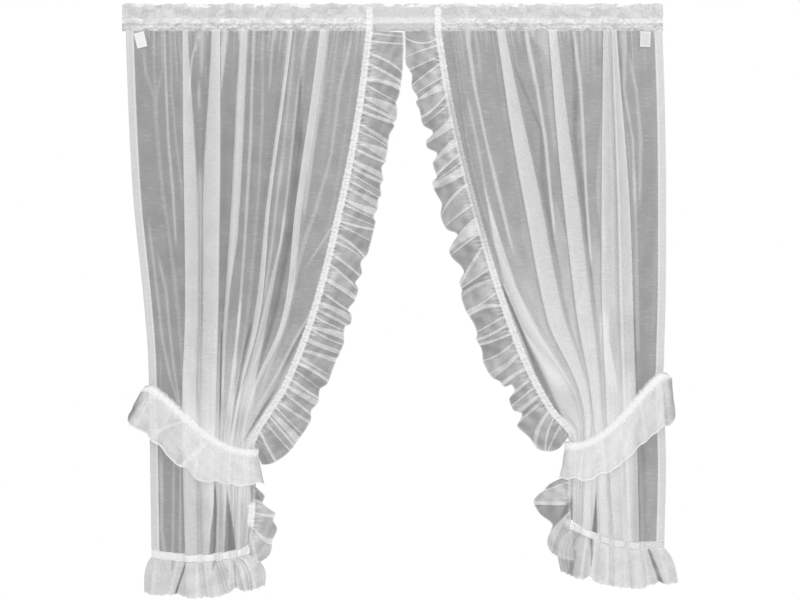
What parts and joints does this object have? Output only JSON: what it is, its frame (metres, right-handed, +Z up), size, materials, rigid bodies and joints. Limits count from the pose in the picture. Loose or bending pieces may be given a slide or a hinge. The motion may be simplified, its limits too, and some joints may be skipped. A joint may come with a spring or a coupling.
{
  "type": "pair of ruffled sheer tie-back curtains",
  "caption": "Pair of white sheer curtains on one gathered heading, with ruffled leading edges and hems, each drawn to its side by a ruffled tie-back.",
  "frame": {"origin": "middle of the heading's top edge, where the pair is hung", "axes": "+X to the viewer's right along the heading, -Y towards the viewer, +Z up"},
  "size_m": [1.3632, 0.0787, 1.4529],
  "materials": {
    "sheer_voile": "sheer white voile, plain weave with fine slubs",
    "ruffle_voile": "sheer white voile, gathered",
    "heading_voile": "white voile, several gathered layers",
    "gathered_band": "white shirred tape, matt",
    "tab_tape": "white woven tape, smooth"
  },
  "bodies": {
    "root": {"left_panel": "sheer_voile", "left_heading": "heading_voile", "left_leading_band": "gathered_band", "left_leading_ruffle": "ruffle_voile", "left_hem_band": "gathered_band", "left_hem_ruffle": "ruffle_voile", "left_tie_band": "gathered_band", "left_tie_ruffle": "ruffle_voile", "left_label_tab": "tab_tape", "right_panel": "sheer_voile", "right_heading": "heading_voile", "right_leading_band": "gathered_band", "right_leading_ruffle": "ruffle_voile", "right_hem_band": "gathered_band", "right_hem_ruffle": "ruffle_voile", "right_tie_band": "gathered_band", "right_tie_ruffle": "ruffle_voile", "right_label_tab": "tab_tape"}
  },
  "joints": []
}
